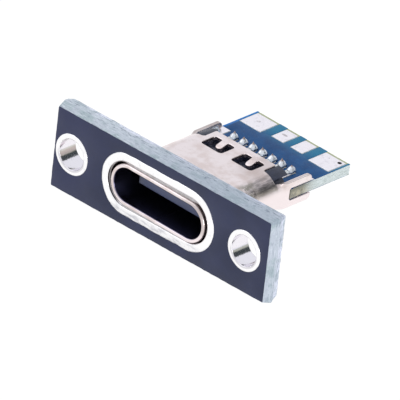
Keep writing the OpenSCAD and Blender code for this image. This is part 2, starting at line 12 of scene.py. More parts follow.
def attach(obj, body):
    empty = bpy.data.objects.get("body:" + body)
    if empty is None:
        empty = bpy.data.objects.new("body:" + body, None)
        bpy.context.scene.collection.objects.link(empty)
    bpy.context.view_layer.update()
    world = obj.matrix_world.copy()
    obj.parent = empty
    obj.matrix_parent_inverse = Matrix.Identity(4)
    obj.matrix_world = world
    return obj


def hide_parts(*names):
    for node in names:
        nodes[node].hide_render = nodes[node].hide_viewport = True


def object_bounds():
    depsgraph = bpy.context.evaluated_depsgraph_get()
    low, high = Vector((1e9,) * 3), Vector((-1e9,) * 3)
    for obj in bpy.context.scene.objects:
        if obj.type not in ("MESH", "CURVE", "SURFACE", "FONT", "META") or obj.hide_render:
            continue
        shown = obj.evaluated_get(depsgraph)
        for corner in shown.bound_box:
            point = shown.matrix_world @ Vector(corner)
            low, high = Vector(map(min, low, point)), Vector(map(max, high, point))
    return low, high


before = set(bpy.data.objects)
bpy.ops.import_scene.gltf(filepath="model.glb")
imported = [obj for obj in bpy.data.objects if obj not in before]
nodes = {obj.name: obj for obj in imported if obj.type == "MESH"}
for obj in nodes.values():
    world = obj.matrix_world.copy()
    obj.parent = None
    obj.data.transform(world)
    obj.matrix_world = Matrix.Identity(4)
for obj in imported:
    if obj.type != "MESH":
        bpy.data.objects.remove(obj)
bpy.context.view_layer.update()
mm = 0.001


# ---- Screw plate: glass-fibre laminate ----
# A 1.6 mm board of pale glass-fibre laminate, scored from both faces and snapped out of its
# panel, so that each edge has two cut bevels with a torn web of fibres between them.

def arithmetic(operation, reflected=False):
    """A method of Value: one operation of a Math node, reflected for a number on its left."""
    def method(value, other=0.0):
        pair = (other, value) if reflected else (value, other)
        return value.finish.node("Math", {"operation": operation}, dict(enumerate(pair)))
    return method


class Value:
    """A socket of a finish; arithmetic on such values adds Math nodes."""

    def __init__(self, finish, socket):
        self.finish, self.socket = finish, socket

    __add__, __radd__ = arithmetic("ADD"), arithmetic("ADD", True)
    __sub__, __rsub__ = arithmetic("SUBTRACT"), arithmetic("SUBTRACT", True)
    __mul__, __rmul__ = arithmetic("MULTIPLY"), arithmetic("MULTIPLY", True)
    __truediv__, __rtruediv__ = arithmetic("DIVIDE"), arithmetic("DIVIDE", True)
    __abs__, most = arithmetic("ABSOLUTE"), arithmetic("MAXIMUM")

    def rise(self, low, high):
        """A smooth step from 0 at low to 1 at high, which may lie below low."""
        if low > high:
            return 1 - self.rise(high, low)
        return self.finish.node(
            "MapRange", {"interpolation_type": "SMOOTHSTEP", "clamp": True},
            {"Value": self, "From Min": low, "From Max": high})

    def band(self, low, high, soft):
        """1 between low and high, fading to 0 over a soft edge."""
        return self.rise(low - soft, low + soft) * (1 - self.rise(high - soft, high + soft))


class Finish:
    """One surface finish: a Principled shader and the nodes that vary it over the piece."""

    def __init__(self, name, **constants):
        self.material = bpy.data.materials.new(name)
        self.material.use_nodes = True
        self.tree = self.material.node_tree
        self.shader = self.tree.nodes["Principled BSDF"]
        for socket, value in constants.items():
            self.shader.inputs[socket.replace("_", " ")].default_value = value
        self.place = self.node("VectorMath", {"operation": "SCALE"},
                               {0: self.node("TexCoord", {}, {}, "Object"),
                                "Scale": 1 / mm})

    def node(self, kind, settings, inputs, output=None):
        """Adds a node: its settings first, then its sockets by name, number or identifier."""
        made = self.tree.nodes.new("ShaderNode" + kind)
        for key, value in settings.items():
            setattr(made, key, value)
        for key, value in inputs.items():
            socket = made.inputs[key] if isinstance(key, int) else next(
                s for s in made.inputs if key in (s.identifier, s.name) and s.enabled)
            if isinstance(value, Value):
                self.tree.links.new(value.socket, socket)
            elif socket.type == "RGBA":
                socket.default_value = (*value, 1)
            else:
                socket.default_value = value
        outputs = [s for s in made.outputs if s.enabled]
        return Value(self, next((s for s in outputs if output in (s.name, s.identifier)), outputs[0]))

    def axes(self, place=None):
        """The x, y and z of a place on the piece, in millimetres."""
        apart = self.node("SeparateXYZ", {}, {0: place or self.place})
        return [Value(self, s) for s in apart.socket.node.outputs]

    def noise(self, scale, detail=3.0, roughness=0.5, place=None):
        """Noise from 0 to 1, with about that many grains to the millimetre."""
        return self.node("TexNoise", {},
                         {"Vector": place or self.place, "Scale": scale,
                          "Detail": detail, "Roughness": roughness}, "Fac")

    def grain(self, scales, detail=3.0, roughness=0.6):
        """Noise of another scale along each axis, as fibres and rolled metal have."""
        place = self.node("VectorMath", {"operation": "MULTIPLY"}, {0: self.place, 1: scales})
        return self.noise(1.0, detail, roughness, place)

    def mix(self, share, a, b):
        """Two colours, the second one in that share."""
        a, b = (colour if isinstance(colour, Value) else srgb(*colour) for colour in (a, b))
        return self.node("Mix", {"data_type": "RGBA"},
                         {"Factor_Float": share, "A_Color": a, "B_Color": b}, "Result_Color")

    def feed(self, socket, value):
        self.tree.links.new(value.socket, self.shader.inputs[socket])

    def colour(self, value):
        self.feed("Base Color", value)

    def rough(self, value):
        self.feed("Roughness", value)

    def relief(self, height, depth):
        """Bumps of that height pattern, depth in millimetres from its 0 to its 1."""
        self.feed("Normal", self.node("Bump", {},
                                      {"Strength": 1.0, "Distance": depth * mm, "Height": height}))


def srgb(r, g, b):
    """A paint-chip colour, 0 to 255, as the linear light that a shader works in."""
    c = np.array([r, g, b]) / 255
    return tuple(float(v) for v in np.where(c > 0.04045, ((c + 0.055) / 1.055) ** 2.4, c / 12.92))


def added(name, data):
    """A new object in the scene for that mesh, lamp or camera."""
    made = bpy.data.objects.new(name, data)
    bpy.context.scene.collection.objects.link(made)
    return made


def fitted(name, mesh, finish, node):
    """The mesh as a smooth piece in its finish, which rides on the part in place of a node."""
    mesh.polygons.foreach_set("use_smooth", np.ones(len(mesh.polygons), bool))
    mesh.materials.append(finish.material)
    piece = added(name, mesh)
    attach(piece, "root")
    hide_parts(node)
    return piece


def new_piece(name, shape, finish, node):
    """A fitted piece made from a shape, its points in millimetres and its faces."""
    points, faces = shape[:2]
    mesh = bpy.data.meshes.new(name)
    mesh.from_pydata((np.asarray(points) * mm).tolist(), [],
                     faces if isinstance(faces, list) else faces.tolist())
    mesh.validate()
    return fitted(name, mesh, finish, node)


def eased(t):
    """A smooth step from 0 at t = 0 to 1 at t = 1: t t (3 - 2 t)."""
    return t * t * (3 - 2 * t)


def lattice(s, t, seed):
    """Smooth random height from 0 to 1: random values on a lattice of unit squares, joined
    between the four nearest by the eased place in the square."""
    table = np.random.default_rng(seed).random((512, 64))
    i, j = np.floor(s).astype(int), np.floor(t).astype(int)
    a, b = eased(s - i), eased(t - j)

    def at(m, n):
        return table[m % table.shape[0], n % table.shape[1]]

    return ((at(i, j) * (1 - a) + at(i + 1, j) * a) * (1 - b)
            + (at(i, j + 1) * (1 - a) + at(i + 1, j + 1) * a) * b)


def rounded(corners, radii, step=0.1):
    """A closed outline: each corner is replaced by an arc that meets both sides at its tangent
    points, which lie radius / tan(half the corner) from it, and the sides are cut into steps."""
    corners = np.array(corners, float)
    radii = np.broadcast_to(radii, len(corners))
    widest_turn = 0.35
    arcs, points = [], []
    for i, (corner, radius) in enumerate(zip(corners, radii)):
        before, after = corners[i - 1] - corner, corners[(i + 1) % len(corners)] - corner
        before, after = before / np.hypot(*before), after / np.hypot(*after)
        half = math.acos(np.clip(before @ after, -1, 1)) / 2
        middle = (before + after) / np.hypot(*(before + after))
        centre = corner + middle * radius / math.sin(half)
        first = corner + before * radius / math.tan(half) - centre
        last = corner + after * radius / math.tan(half) - centre
        start = math.atan2(first[1], first[0])
        turn = (math.atan2(last[1], last[0]) - start + math.pi) % (2 * math.pi) - math.pi
        angles = start + turn * np.linspace(0, 1, max(3, math.ceil(abs(turn) / widest_turn) + 1))
        arcs.append(centre + radius * np.stack([np.cos(angles), np.sin(angles)], 1))
    for arc, after in zip(arcs, arcs[1:] + arcs[:1]):
        run = after[0] - arc[-1]
        count = max(1, math.ceil(np.hypot(*run) / step))
        points += [arc, arc[-1] + run * (np.arange(1, count) / count)[:, None]]
    return np.concatenate(points)


def around_slot(half_straight, arc_count, run_count=0):
    """Places round a slot's centre line and the outward direction at each: half turns about
    both ends, joined by straights. Without straights it is a circle about one centre."""
    x, turn = np.full(arc_count, half_straight), np.linspace(-math.pi / 2, math.pi / 2, arc_count)
    if half_straight:
        x = np.concatenate([x, np.linspace(half_straight, -half_straight, run_count + 2)[1:-1]])
        turn = np.concatenate([turn, np.full(run_count, math.pi / 2)])
    else:
        x, turn = x[:-1], turn[:-1]
    nx, nz = np.cos(turn), np.sin(turn)
    return np.concatenate([x, -x]), np.concatenate([nx, -nx]), np.concatenate([nz, -nz])


def obround(half_straight, radius, step=0.1):
    """A slot's outline, anticlockwise: two half circles of that radius, joined by straights."""
    x, nx, nz = around_slot(half_straight, math.ceil(math.pi * radius / step) + 1,
                            math.ceil(2 * half_straight / step))
    return np.stack([x + radius * nx, radius * nz], 1)


def batches(items, others):
    """The items in batches, so that a table of one batch by the others stays small."""
    return np.array_split(items, 1 + len(items) * len(others) // 4_000_000)


def inside(points, loops):
    """Which points lie in the outline: a line from each to the right crosses its sides an odd
    number of times."""
    odd = np.zeros(len(points), bool)
    for loop in loops:
        a, b = loop, np.roll(loop, -1, 0)
        run = np.where(b[:, 1] == a[:, 1], 1, b[:, 1] - a[:, 1])
        for part in batches(np.arange(len(points)), loop):
            u, v = points[part, 0, None], points[part, 1, None]
            spans = (a[:, 1] > v) != (b[:, 1] > v)
            crossed = spans & (u < a[:, 0] + (v - a[:, 1]) / run * (b[:, 0] - a[:, 0]))
            odd[part] ^= crossed.sum(1) % 2 == 1
    return odd


def sheet(loops, thickness, edge, shape, grid=0, rows=1, inner_row=0):
    """A flat blank of sheet with rounded edges, carried to its place by shape(u, v, w).
    Its half thickness is thickness / 2 - r + r sin(a) at a distance r (1 - cos(a)) from the
    nearest edge, r being the edge radius there. Between the two faces stand rows of wall.
    The first loop runs anticlockwise and the holes clockwise. A grid of points fills the faces,
    and an inner row can follow the outline at that distance inside its rounding.
    Returns points, faces, blank."""
    steps = np.radians([0, 20, 42, 65, 90])
    grid_margin, same_point = 0.03, 1e-6
    flat, high, edges, reach = [], [], [], []
    for loop in loops:
        side = np.roll(loop, -1, 0) - np.roll(loop, 1, 0)
        inward = np.stack([-side[:, 1], side[:, 0]], 1) / np.hypot(*side.T)[:, None]
        r = edge(loop[:, 0], loop[:, 1]) if callable(edge) else np.full(len(loop), edge)
        index = sum(len(f) for f in flat) + np.arange(len(loop))
        edges += list(zip(index.tolist(), np.roll(index, -1).tolist()))
        reach.append(r)
        flat += [loop + inward * (r * (1 - math.cos(a)))[:, None] for a in steps]
        high += [thickness / 2 - r + r * math.sin(a) for a in steps]
        if inner_row:
            flat.append(loop + inward * (r + inner_row)[:, None])
            high.append(np.full(len(loop), thickness / 2))
    if grid:
        rim, reach = np.concatenate(loops), np.concatenate(reach)
        low, top = rim.min(0), rim.max(0)
        u, v = np.meshgrid(np.arange(low[0], top[0], grid), np.arange(low[1], top[1], grid))
        inner = np.stack([(u + (np.arange(len(u)) % 2 * grid / 2)[:, None]).ravel(), v.ravel()], 1)
        inner = inner[inside(inner, loops)]
        near = np.concatenate([((batch[:, None] - rim[None]) ** 2).sum(2).min(1)
                               for batch in batches(inner, rim)])
        inner = inner[near > (np.median(reach) + grid_margin + inner_row) ** 2]
        flat.append(inner)
        high.append(np.full(len(inner), thickness / 2))
    flat, high = np.concatenate(flat), np.concatenate(high)
    spots, _, faces, origin, _, _ = delaunay_2d_cdt(
        [Vector(p) for p in flat], edges, [], 1, same_point, True)
    lookup = np.zeros(len(flat), int)
    for new, old in enumerate(origin):
        lookup[old] = new
    high = high[[old[0] for old in origin]]
    flat, faces, count = np.array([tuple(p) for p in spots]), np.array(faces), len(spots)
    faces = faces[inside(flat[faces].mean(1), loops)]
    a, b = lookup[np.array(edges)].T
    rim = np.unique(a)
    place = np.zeros(count, int)
    place[rim] = np.arange(len(rim))
    level = np.arange(1, rows) / rows
    extra = np.tile(flat[rim], (rows - 1, 1))
    extra_high = ((1 - 2 * level)[:, None] * high[rim]).ravel()

    def row(i, k):
        if k == 0:
            return i
        return i + count if k == rows else 2 * count + (k - 1) * len(rim) + place[i]

    walls = [corners for k in range(rows) for corners in (
        np.stack([row(a, k), row(a, k + 1), row(b, k + 1)], 1),
        np.stack([row(a, k), row(b, k + 1), row(b, k)], 1))]
    blank = np.concatenate([flat, flat, extra])
    points = shape(blank[:, 0], blank[:, 1], np.concatenate([high, -high, extra_high]))
    return points, np.concatenate([faces, faces[:, ::-1] + count, *walls]), blank


plate_width, plate_height, plate_thick, film = 20.3, 6.2, 1.6, 0.03
plate_shift, hole_pitch, hole_radius = 0.26, 16.5, 1.15
slot_straight, slot_end, plating = 2.99, 1.76, 0.05
web_front, web_rear = 0.71, 1.05
web_reach, rear_reach, slip, margin = 0.182, 0.043, 0.2, 0.3


def snapped(u, v, w):
    """Blank point (u, v) of the plate at depth w. Within a margin of the outline each edge
    grows out as the scoring cuts leave it: by the front bevel up to the torn web, and back by
    the rear one. The right edge's rear cut lies further in. Plies of the web stand out by
    random steps, which fade out at both faces."""
    y = plate_thick / 2 - w
    grow = np.interp(y, [film, web_front, web_rear, plate_thick - film],
                     [0, web_reach, web_reach, rear_reach])
    slide = np.interp(y, [web_front, web_rear], [0, slip])
    torn = np.interp(y, [web_front - 0.04, web_front + 0.03, web_rear - 0.03, web_rear + 0.04],
                     [0.16, 1, 1, 0.16])
    x, z = u - plate_shift, v
    across = np.clip((np.abs(x) - plate_width / 2) / margin + 1, 0, 1)
    over = np.clip((np.abs(z) - plate_height / 2) / margin + 1, 0, 1)
    run = np.where(across > over, z + 40, x)
    rag = (lattice(run * 4, y * 11, 1) * 0.05 + lattice(run * 13, y * 16, 2) * 0.035
           + lattice(run * 1.1, y * 3, 3) * 0.03 - 0.06) * torn
    fade = np.clip(np.minimum(y - film, plate_thick - film - y) / 0.05, 0, 1)
    grow = grow + rag * fade
    return np.stack([u + np.sign(x) * across * grow - (x > 0) * across * slide, y,
                     v + np.sign(z) * over * grow], 1)


def rectangle(x0, z0, x1, z1, radius, step=0.1):
    """A rounded rectangle from its lowest to its highest corner, anticlockwise."""
    return rounded([(x0, z0), (x1, z0), (x1, z1), (x0, z1)], radius, step)


def screw_holes(radius):
    """The outlines of both screw holes at that radius, clockwise."""
    return [obround(0, radius)[::-1] + (side * hole_pitch / 2, 0) for side in (-1, 1)]


plate_loop = rectangle(plate_shift - plate_width / 2, -plate_height / 2, plate_shift + plate_width / 2,
                       plate_height / 2, 0.06, 0.06)
slot_hole = obround(slot_straight, slot_end + plating)[::-1]

laminate = Finish("snapped_laminate", Roughness=0.8, IOR=1.4)
x, y, z = laminate.axes()
plies = laminate.grain((1.3, 14, 1.3), 4.0, 0.7)
cloud = laminate.noise(0.7, 3.0, 0.6)
speckle = laminate.grain((1.9, 8, 1.9), 4.0, 0.7)
torn = y.band(web_front - 0.05, web_rear + 0.01, 0.05)
# Painted light: each edge's rear bevel is painted lighter than its front bevel, as it catches more light
# from behind.
bevels = laminate.mix(y.rise(1.0, 1.12), (188, 196, 206), (228, 232, 246))
bevels = laminate.mix(cloud.rise(0.45, 0.6) * 0.7, bevels, (156, 174, 178))
web = laminate.mix(torn * 0.7, bevels, (200, 208, 218))
fibres = laminate.mix(plies.rise(0.5, 0.7) * 0.7, web, (228, 234, 242))
dark = speckle.rise(0.52, 0.62) * (0.3 + torn * 0.35 + y.band(1.18, 1.38, 0.08) * 0.3)
score = laminate.grain((0.6, 4, 0.6)).rise(0.42, 0.56)
fibres = laminate.mix(score * y.band(1.15, 1.24, 0.03) * 0.6, fibres, (110, 122, 140))
# Painted shade: the plate's top edge is painted darker, more so towards the right, where the side lamp
# lights it.
fibres = laminate.mix(z.rise(2.9, 3.0) * x.rise(-7, 4) * 0.42, fibres, (140, 152, 168))
laminate.colour(laminate.mix(dark, fibres, (84, 98, 118)))
laminate.relief(plies * 0.5 + speckle, 0.06)
core = sheet([plate_loop, *screw_holes(hole_radius + plating), slot_hole], plate_thick - 2 * film, 0.004,
             snapped, rows=30)
new_piece("laminate_core", core, laminate, "plate_laminate")


# ---- Screw plate: lacquer ----
# Black solder lacquer on both faces, a satin film that stops short of the tinned rings and
# whose outer edge was cut slightly ragged by the scoring wheel.

ring_width, slot_ring, lap = 0.38, 0.57, 0.02
lacquer = Finish("black_lacquer", IOR=1.44)
x = lacquer.axes()[0]
cloud = lacquer.noise(0.35, 2.0)
peel = lacquer.noise(3.0, 2.0)
dust = lacquer.noise(30, 2.0, 0.7).rise(0.72, 0.8)
tone = lacquer.mix(cloud.rise(0.3, 0.7), (26, 34, 64), (34, 42, 76))
tone = lacquer.mix(x.rise(-4, -10) * 0.7, tone, (38, 44, 80))
lacquer.colour(lacquer.mix(dust * 0.5, tone, (120, 124, 134)))
lacquer.rough(0.36 + peel * 0.1)
lacquer.relief(peel + dust * 0.2, 0.004)
ring_openings = screw_holes(hole_radius + ring_width - lap)
ring_openings.append(obround(slot_straight, slot_end + slot_ring - lap)[::-1])
outline_step = 0.07
for name, front, grow, slide, seed in (("lacquer_front", 0.0, 0.0, 0.0, 5),
                                       ("lacquer_rear", plate_thick - film, rear_reach, slip, 6)):
    wide, high = plate_width / 2 + grow, plate_height / 2 + grow
    face = rectangle(plate_shift - wide, -high, plate_shift + wide - slide, high, 0.12, outline_step)
    around = np.arange(len(face)) * outline_step
    inwards = face - (plate_shift, 0)
    inwards = -np.sign(inwards) * (np.abs(inwards) > [plate_width / 2 - margin, plate_height / 2 - margin])
    face = face + inwards * (lattice(around * 3, 0, seed) * 0.03)[:, None]
    coat = sheet([face, *ring_openings], film, 0.012,
                 lambda u, v, w: np.stack([u, front + film / 2 - w, v], 1))
    new_piece(name, coat, lacquer, "plate_" + name)


# ---- Screw plate: tinned rings and hole walls ----
# Copper plated through the laminate and dipped in molten tin, which hot air blew flat: low
# domed rings with a slightly wavering outline, and bright walls.

def hoop(stations, sections, closed=True):
    """Faces of a ring with sections points round it at each of its stations. The last station
    is joined to the first one where it is closed."""
    i, j = np.meshgrid(np.arange(stations if closed else stations - 1), np.arange(sections),
                       indexing="ij")
    near, far, after = i * sections, (i + 1) % stations * sections, (j + 1) % sections
    return np.stack([near + j, far + j, far + after, near + after], 2).reshape(-1, 4)


def plated(middle, half_straight, bore, ring, seed):
    """Section of a plated hole, carried round it: up the bright wall, over the rear ring, back
    inside the laminate and over the front ring. A ring's crown is 0.035 (1 - a^4) high, a
    running from -1 to 1 over its width, and its rim wavers with two random curves. A slot
    wavers more than a round hole."""
    x, nx, nz = around_slot(half_straight, 90, 90)
    a = np.linspace(-1, 1, 9)
    crown, wide = 0.035 * (1 - a ** 4), bore + ring * (a + 1) / 2
    wall = np.linspace(0.02, plate_thick - 0.02, 12)
    r = np.concatenate([np.full(len(wall), bore), wide,
                        [bore + ring, bore + plating, bore + plating, bore + ring], wide[::-1]])
    y = np.concatenate([wall, plate_thick + crown, [plate_thick - film, plate_thick - film, film, film],
                        -crown[::-1]])
    rim = np.clip((r - bore) / ring, 0, 1) ** 2
    around = np.abs(2 * np.arange(len(x)) / len(x) - 1)[:, None]
    waves, nicks = (0.06, 0.015) if half_straight else (0.02, 0.006)
    waver = lattice(around * 15, 0, seed) * waves + lattice(around * 70, 0, seed + 1) * nicks - 0.02
    swell = (lattice(around * 30, r * 2, seed + 2) - 0.5) * 0.02
    ripple = (lattice(around * 12, y / 3, seed + 3) - 0.5) * 0.006
    reach = r + waver * rim + ripple * (r == bore)
    y = y + swell * np.sign(y - plate_thick / 2) * (np.abs(y - plate_thick / 2) > plate_thick / 2)
    x = middle + x[:, None] + reach * nx[:, None]
    return np.stack([x, y, reach * nz[:, None]], 2).reshape(-1, 3), hoop(*x.shape)


tin = Finish("tinned_copper", Metallic=1.0)
x, y, z = tin.axes()
scuff = tin.noise(2.2, 4.0, 0.7).rise(0.55, 0.72)
wall = y.band(0.02, plate_thick - 0.02, 0.01)
ring_face = 1 - wall
tone = tin.mix(scuff * 0.4, (255, 254, 255), (206, 206, 212))
tone = tin.mix(wall * 0.8, tone, (236, 232, 239))
off = abs(x) - hole_pitch / 2
# Painted shade: a grey band on the lower half of each screw ring, next to its bore, where the ring rounds
# down into the hole.
painted_dark_lip = (off * off + z * z).rise((hole_radius + 0.18) ** 2, (hole_radius + 0.12) ** 2) * z.rise(0.2, -0.5)
tone = tin.mix(painted_dark_lip * ring_face * 0.55, tone, (196, 192, 200))
flow = tin.grain((0.9, 2, 2.6), 4.0).rise(0.44, 0.66)
tone = tin.mix(z.rise(-1.6, -2.0) * (0.15 + flow * 0.65), tone, (190, 190, 198))
# Painted reflection: an olive-grey band low on the left side of the left screw hole's wall stands for a
# dark reflection there.
painted_reflection_band = z.band(-0.62, -0.16, 0.06) * wall * x.rise(-8.3, -8.5)
tone = tin.mix(painted_reflection_band * 0.5, tone, (160, 160, 136))
# Painted shade: the slot's plated wall is painted nearly black from 0.32 mm behind the plate's front face
# to near its rear, as shade deep in the gap round the shell.
slot_reach = slot_straight + slot_end + slot_ring + 0.28
deep = y.band(0.32, plate_thick - 0.1, 0.05) * x.band(-slot_reach, slot_reach, 0.1)
tin.colour(tin.mix(deep * 0.9, tone, (40, 34, 36)))
tin.rough(0.14 + ring_face * 0.18 + scuff * 0.14)
tin.relief(tin.noise(2.6, 2.0), 0.006)
for name, *sizes in (("slot_plating", 0, slot_straight, slot_end, slot_ring, 11),
                     ("screw_hole_plating_left", -hole_pitch / 2, 0, hole_radius, ring_width, 21),
                     ("screw_hole_plating_right", hole_pitch / 2, 0, hole_radius, ring_width, 31)):
    new_piece(name.replace("plating", "tin"), plated(*sizes), tin, name)


# ---- Breakout board: laminate and lacquer ----
# 0.8 mm glass-fibre board routed out of its panel, with blue lacquer over its copper. The
# socket's solder set while it leaned, so the board and the receptacle share that lean.

lean, lowered = math.radians(1.2), 0.08


def seated(points):
    """The socket's own place: leaning about the way in, right end down, then lowered."""
    x, y, z = np.asarray(points).T
    return np.stack([x * math.cos(lean) + z * math.sin(lean), y,
                     z * math.cos(lean) - x * math.sin(lean) - lowered], 1)


def over_board(x, z):
    """Height of a seated place above the middle of the board's thickness, nearly."""
    return z + x * math.tan(lean) + lowered


def laid(middle, under=False, crown=0.0, size=(1, 1), centre=(0, 0)):
    """Carries a blank flat onto the board, its middle at that height; under turns it over.
    A crown swells its upper face by (1 - a^4)(1 - b^4) over its half width and length."""
    side = -1 if under else 1

    def shape(u, v, w):
        a, b = ((p - c) / s * 2 for p, c, s in zip((u, v), centre, size))
        swell = crown * np.clip(1 - a ** 4, 0, 1) * np.clip(1 - b ** 4, 0, 1) * (w > 0)
        return seated(np.stack([side * u, v, side * (middle + w + swell)], 1))

    return shape


board_width, board_front, board_rear, core_thick, resist = 8.9, 8.6, 14.55, 0.76, 0.02


def routed_edge(u, v, w):
    """Board blank with its routed side and rear walls roughened by random plies."""
    shift = np.where(np.abs(u) > board_width / 2 - 0.01, lattice(v * 9, w * 14 + 20, 41) * 0.03 - 0.02, 0)
    back = np.where(v > board_rear - 0.01, lattice(u * 9 + 60, w * 14 + 20, 42) * 0.03 - 0.02, 0)
    return seated(np.stack([u + np.sign(u) * shift, v + back, w], 1))


routed = Finish("routed_laminate", Roughness=0.75, IOR=1.4)
x, y, z = routed.axes()
plies = routed.grain((1.6, 1.6, 26), 4.0, 0.7)
cloud = routed.noise(2.2, 4.0, 0.6)
near_leg = y.rise(11.2, 9.6)
edge = routed.mix(plies.rise(0.35, 0.7), (180, 190, 186), (228, 236, 236))
lift = over_board(x, z)
olive_and_shadow = routed.mix(cloud.rise(0.38, 0.62), (112, 100, 74), (180, 170, 142))
# Painted shadow: the upper part of the board's edge inside the leg's fork is painted dark, as the upper
# prong's shadow.
olive_and_shadow = routed.mix(lift.rise(-0.12, 0.3) * 0.85, olive_and_shadow, (86, 80, 54))
edge = routed.mix(near_leg * (0.6 + cloud * 0.4), edge, olive_and_shadow)
top = routed.mix(cloud, (142, 148, 112), (186, 192, 160))
flat_face = abs(lift).rise(core_thick / 2 - 0.035, core_thick / 2 - 0.015)
routed.colour(routed.mix(y.rise(board_rear - 0.3, board_rear - 0.2) * flat_face, edge, top))
routed.relief(plies + cloud * 0.4, 0.03)
board_loop = rectangle(-board_width / 2, board_front, board_width / 2, board_rear, 0.05)
via, via_radius, via_ring = (3.93, 14.01), 0.13, 0.31
barrel = obround(0, via_radius + 0.03, 0.05)[::-1] + via
core = sheet([board_loop, barrel], core_thick, 0.005, routed_edge, rows=12)
new_piece("board_core", core, routed, "board_laminate")

blue = Finish("blue_lacquer", IOR=1.4, Specular_IOR_Level=0.22)
x, y, _ = blue.axes()
depth = blue.noise(1.2, 3.0)
weave = blue.noise(4.5, 2.0)
tone = blue.mix(depth.rise(0.3, 0.7), (9, 63, 112), (18, 75, 127))
tone = blue.mix(y.rise(12.0, 13.8) * 0.9, tone, (34, 114, 148))
tone = blue.mix(x.rise(-4.15, -4.4) * 0.8, tone, (28, 120, 200))
blue.colour(blue.mix(weave.rise(0.6, 0.75) * 0.2, tone, (70, 120, 160)))
blue.rough(0.28 + depth * 0.12)
blue.relief(depth + weave * 0.3, 0.008)

pad_rear, pad_gap = 14.33, 0.05
pads = {"wire_pad_left": (-3.28, 1.9, 1.78), "wire_pad_inner_left": (-0.91, 1.1, 1.5),
        "wire_pad_inner_right": (0.91, 1.1, 1.5), "wire_pad_right": (3.28, 1.9, 1.78)}
land_front, tail_pitch, tail_land = 8.95, 0.92, (0.56, 1.55)
prong_at, prong_land = 4.015, (0.75, 2.0)
chip_middle, chip_half, chip_front, chip_land = 1.0, 0.38, 11.5, (0.44, 0.6)
chip_ends = [side * chip_middle + end * chip_half for side in (-1, 1) for end in (-1, 1)]
front_lands = [(i * tail_pitch, *tail_land) for i in range(-3, 4)]
front_lands += [(side * prong_at, *prong_land) for side in (-1, 1)]


def opening(at, front, wide, long, gap=pad_gap):
    """The outline left open round a land of that place, width and length, clockwise."""
    return rectangle(at - wide / 2 - pad_gap, front - gap, at + wide / 2 + pad_gap,
                     front + long + gap, 0.06)[::-1]


rear_line = [(board_width / 2, board_front), (board_width / 2, board_rear)]
for at, wide, long in list(pads.values())[::-1]:
    near, far, front = at + wide / 2 + pad_gap, at - wide / 2 - pad_gap, pad_rear - long - pad_gap
    rear_line += [(near, board_rear), (near, front), (far, front), (far, board_rear)]
rear_line += [(-board_width / 2, board_rear), (-board_width / 2, board_front)]
openings = [opening(at, land_front, wide, long) for at, wide, long in front_lands]
coat = sheet([rounded(rear_line, 0.04), *openings], resist, 0.008, laid((core_thick + resist) / 2))
new_piece("lacquer_top", coat, blue, "board_lacquer_top")
openings += [opening(at, chip_front, *chip_land, gap=0.08) for at in chip_ends]
openings.append((obround(0, via_ring + lap, 0.05) + (-via[0], via[1]))[::-1])
coat = sheet([board_loop, *openings], resist, 0.008, laid((core_thick + resist) / 2, under=True))
new_piece("lacquer_bottom", coat, blue, "board_lacquer_bottom")


# ---- Breakout board: pads, lands and chip resistors ----
# Copper etched to shape and tinned, so that each pad is a low pillow with rounded corners.

pad_tin = Finish("tinned_pads", Metallic=1.0)
pad_x, pad_y, _ = pad_tin.axes()
marks = pad_tin.noise(2.6, 3.0, 0.6)
spot = pad_tin.noise(1.1, 1.0)


def dab(x, y, wide, long):
    """1 within an oval of that half width and length about a place, fading out at its rim."""
    a, b = (pad_x - x) / wide, (pad_y - y) / long
    return (a * a + b * b).rise(1.3, 0.5)


scorch = dab(-3.35, 13.5, 0.17, 0.15).most(dab(-0.95, 13.62, 0.26, 0.12))
scorch = scorch.most(dab(3.05, 13.9, 0.06, 0.06)) * marks.rise(0.3, 0.55)
tone = pad_tin.mix(marks.rise(0.5, 0.7) * 0.4, (250, 245, 250), (208, 204, 212))
tone = pad_tin.mix(scorch * 0.65, tone, (164, 154, 156))
# Painted shade: the via hole and its rim are painted nearly black, as shade down the hole.
pad_tin.colour(pad_tin.mix(dab(*via, 0.17, 0.17), tone, (40, 42, 48)))
pad_tin.rough(0.26 + marks * 0.16)
pad_tin.relief(marks + spot, 0.012)
pad_thick = 0.04
land_top = core_thick / 2 + pad_thick


def joined(meshes):
    """Several shapes as one list of points and one of faces."""
    points = np.concatenate([m[0] for m in meshes])
    starts = np.cumsum([0] + [len(m[0]) for m in meshes[:-1]])
    faces = [face for m, start in zip(meshes, starts) for face in (np.asarray(m[1]) + start).tolist()]
    return points, faces


def pillow(at, front, wide, long, under=False, hole=()):
    """A low tinned pad on either face of the board, with rounded corners and edges."""
    loops = [rectangle(at - wide / 2, front, at + wide / 2, front + long, 0.07, 0.12), *hole]
    crowned = laid((core_thick + pad_thick) / 2, under, 0.02, (wide, long), (at, front + long / 2))
    return sheet(loops, pad_thick, 0.018, crowned, grid=0.12, inner_row=0.045)


def via_tube():
    """The plated hole's tube, from the wire pad's face down to a ring under the board."""
    x, nx, nz = around_slot(0, 14)
    r = np.array([via_radius, via_radius, via_ring, via_ring, via_radius + 0.03, via_radius + 0.03])
    upper, lower = land_top + 0.005, -core_thick / 2
    h = np.array([upper, -land_top, -land_top, lower, lower, upper])
    tube = np.stack([via[0] + r * nx[:, None], via[1] + r * nz[:, None], h + 0 * nx[:, None]], 2)
    return seated(tube.reshape(-1, 3)), hoop(len(nx), len(r))


